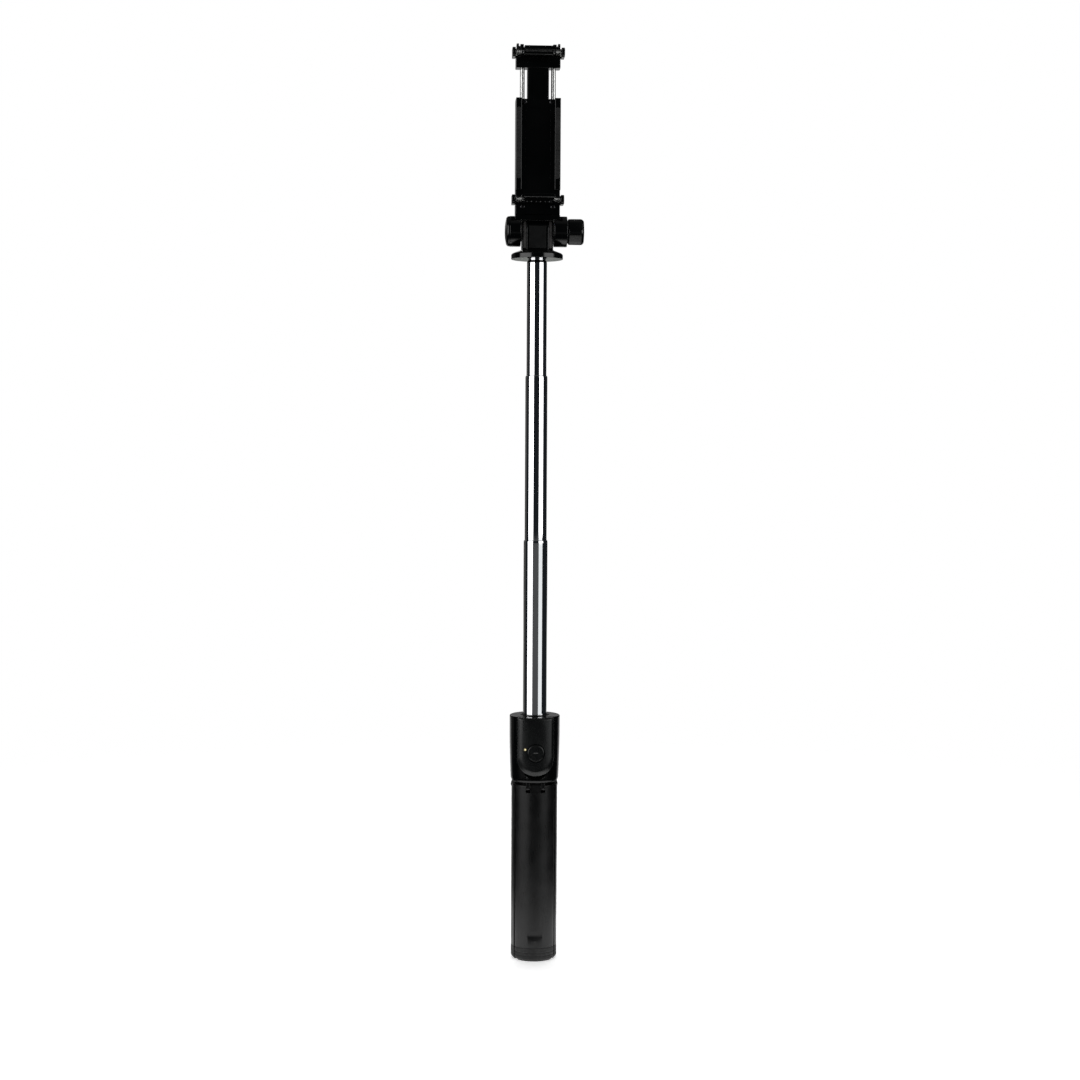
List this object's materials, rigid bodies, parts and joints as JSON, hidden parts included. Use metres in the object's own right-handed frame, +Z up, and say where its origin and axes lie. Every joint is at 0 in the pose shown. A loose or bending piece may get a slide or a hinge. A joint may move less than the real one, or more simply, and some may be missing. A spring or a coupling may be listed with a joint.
{
  "type": "telescopic selfie stick",
  "caption": "Telescopic selfie stick: tripod handle with a docked shutter remote, polished steel pole, and a tilting sprung phone clamp with folding jaws.",
  "frame": {"origin": "centre of the circle that the three closed feet stand on, at the bottom of the handle", "axes": "+Z up along the pole, -Y out of the side that faces the phone's screen and the remote, +X towards the tension knob"},
  "size_m": [0.0407, 0.0323, 0.4738],
  "materials": {
    "satin_black": "satin black moulded ABS with a faint spark-eroded grain",
    "grip_black": "fine matt black moulded plastic",
    "remote_grey": "satin charcoal moulded plastic",
    "rubber_black": "matt black silicone rubber",
    "polished_steel": "polished stainless steel tube",
    "plated_steel": "nickel-plated steel",
    "blackened_steel": "black zinc-plated steel screw, worn bright on its edges",
    "spring_steel": "drawn spring wire",
    "nylon": "natural nylon",
    "brass": "machined brass",
    "circuit_board": "green solder resist",
    "light_pipe": "clear light pipe, lit warm white"
  },
  "bodies": {
    "handle": {"upper_housing": "satin_black", "top_guide_ring": "satin_black", "leg_hub": "grip_black", "leg_pin_1": "plated_steel", "leg_pin_2": "plated_steel", "leg_pin_3": "plated_steel"},
    "remote": {"remote_front_shell": "remote_grey", "remote_rear_shell": "remote_grey", "remote_coin_cell": "plated_steel", "remote_circuit_board": "circuit_board", "remote_tact_switch": "plated_steel", "remote_light": "light_pipe"},
    "shutter_button": {"remote_button": "remote_grey"},
    "head": {"head_base": "satin_black", "hinge_washer_right": "nylon", "hinge_washer_left": "nylon"},
    "clamp": {"clamp_frame": "satin_black", "clamp_front_cover": "satin_black", "cover_screw_1": "blackened_steel", "cover_screw_2": "blackened_steel", "cover_screw_3": "blackened_steel", "cover_screw_4": "blackened_steel", "rail_pad_right": "rubber_black", "rail_pad_left": "rubber_black", "hinge_bolt": "plated_steel", "hinge_cap": "satin_black", "lower_jaw_pin": "plated_steel", "lower_jaw_spring_left": "spring_steel", "lower_jaw_spring_right": "spring_steel"},
    "tension_knob": {"hinge_knob": "remote_grey", "knob_nut": "brass"},
    "slider": {"clamp_slider": "satin_black", "guide_rod_left": "plated_steel", "guide_rod_right": "plated_steel", "clamp_spring_left": "spring_steel", "clamp_spring_right": "spring_steel", "upper_jaw_pin": "plated_steel", "upper_jaw_spring_left": "spring_steel", "upper_jaw_spring_right": "spring_steel"},
    "lower_jaw": {"lower_jaw": "satin_black", "lower_jaw_pad": "rubber_black"},
    "upper_jaw": {"upper_jaw": "satin_black", "upper_jaw_pad": "rubber_black"},
    "leg_1": {"leg_1": "grip_black", "leg_foot_1": "rubber_black"},
    "leg_2": {"leg_2": "grip_black", "leg_foot_2": "rubber_black"},
    "leg_3": {"leg_3": "grip_black", "leg_foot_3": "rubber_black"},
    "pole_1": {"pole_section_1": "polished_steel", "pole_bush_1": "nylon"},
    "pole_2": {"pole_section_2": "polished_steel", "pole_bush_2": "nylon"},
    "pole_3": {"pole_section_3": "polished_steel", "pole_bush_3": "nylon"},
    "pole_4": {"pole_section_4": "polished_steel", "pole_bush_4": "nylon", "pole_top_plug": "nylon", "swivel_rivet": "plated_steel"}
  },
  "joints": [
    {"name": "pole_1_slide", "type": "slide", "parent": "handle", "child": "pole_1", "axis": [0, 0, 1], "range_m": [-0.0906, 0.0015]},
    {"name": "pole_2_slide", "type": "slide", "parent": "pole_1", "child": "pole_2", "axis": [0, 0, 1], "range_m": [-0.0846, 0.006]},
    {"name": "pole_3_slide", "type": "slide", "parent": "pole_2", "child": "pole_3", "axis": [0, 0, 1], "range_m": [-0.0586, 0.026]},
    {"name": "pole_4_slide", "type": "slide", "parent": "pole_3", "child": "pole_4", "axis": [0, 0, 1], "range_m": [0, 0.0785]},
    {"name": "head_swivel", "type": "hinge", "parent": "pole_4", "child": "head", "pos_m": [0, 0, 0.367], "axis": [0, 0, 1], "continuous": true},
    {"name": "clamp_tilt", "type": "hinge", "parent": "head", "child": "clamp", "pos_m": [0, 0, 0.3788], "axis": [1, 0, 0], "range_deg": [-90, 90]},
    {"name": "knob_turn", "type": "hinge", "parent": "clamp", "child": "tension_knob", "pos_m": [0.02, 0, 0.3788], "axis": [1, 0, 0], "continuous": true},
    {"name": "clamp_slide", "type": "slide", "parent": "clamp", "child": "slider", "axis": [0, 0, 1], "range_m": [-0.0155, 0.014], "deforming": ["clamp_spring_left", "clamp_spring_right"]},
    {"name": "lower_jaw_fold", "type": "hinge", "parent": "clamp", "child": "lower_jaw", "pos_m": [0, -0.0056, 0.3946], "axis": [-1, 0, 0], "range_deg": [0, 88], "stiffness_Nm_per_rad": 0.04},
    {"name": "upper_jaw_fold", "type": "hinge", "parent": "slider", "child": "upper_jaw", "pos_m": [0, -0.0056, 0.4693], "axis": [1, 0, 0], "range_deg": [0, 88], "stiffness_Nm_per_rad": 0.04},
    {"name": "remote_release", "type": "slide", "parent": "handle", "child": "remote", "axis": [0, 0, 1], "range_m": [0, 0.034]},
    {"name": "shutter_press", "type": "slide", "parent": "remote", "child": "shutter_button", "axis": [0, 1, 0], "range_m": [0, 0.0004], "stiffness_N_per_m": 800},
    {"name": "leg_1_fold", "type": "hinge", "parent": "handle", "child": "leg_1", "pos_m": [0, -0.0097, 0.0914], "axis": [-1, 0, 0], "range_deg": [0, 65]},
    {"name": "leg_2_fold", "type": "hinge", "parent": "handle", "child": "leg_2", "pos_m": [0.0084, 0.00485, 0.0914], "axis": [0.5, -0.866, 0], "range_deg": [0, 65]},
    {"name": "leg_3_fold", "type": "hinge", "parent": "handle", "child": "leg_3", "pos_m": [-0.0084, 0.00485, 0.0914], "axis": [0.5, 0.866, 0], "range_deg": [0, 65]}
  ]
}
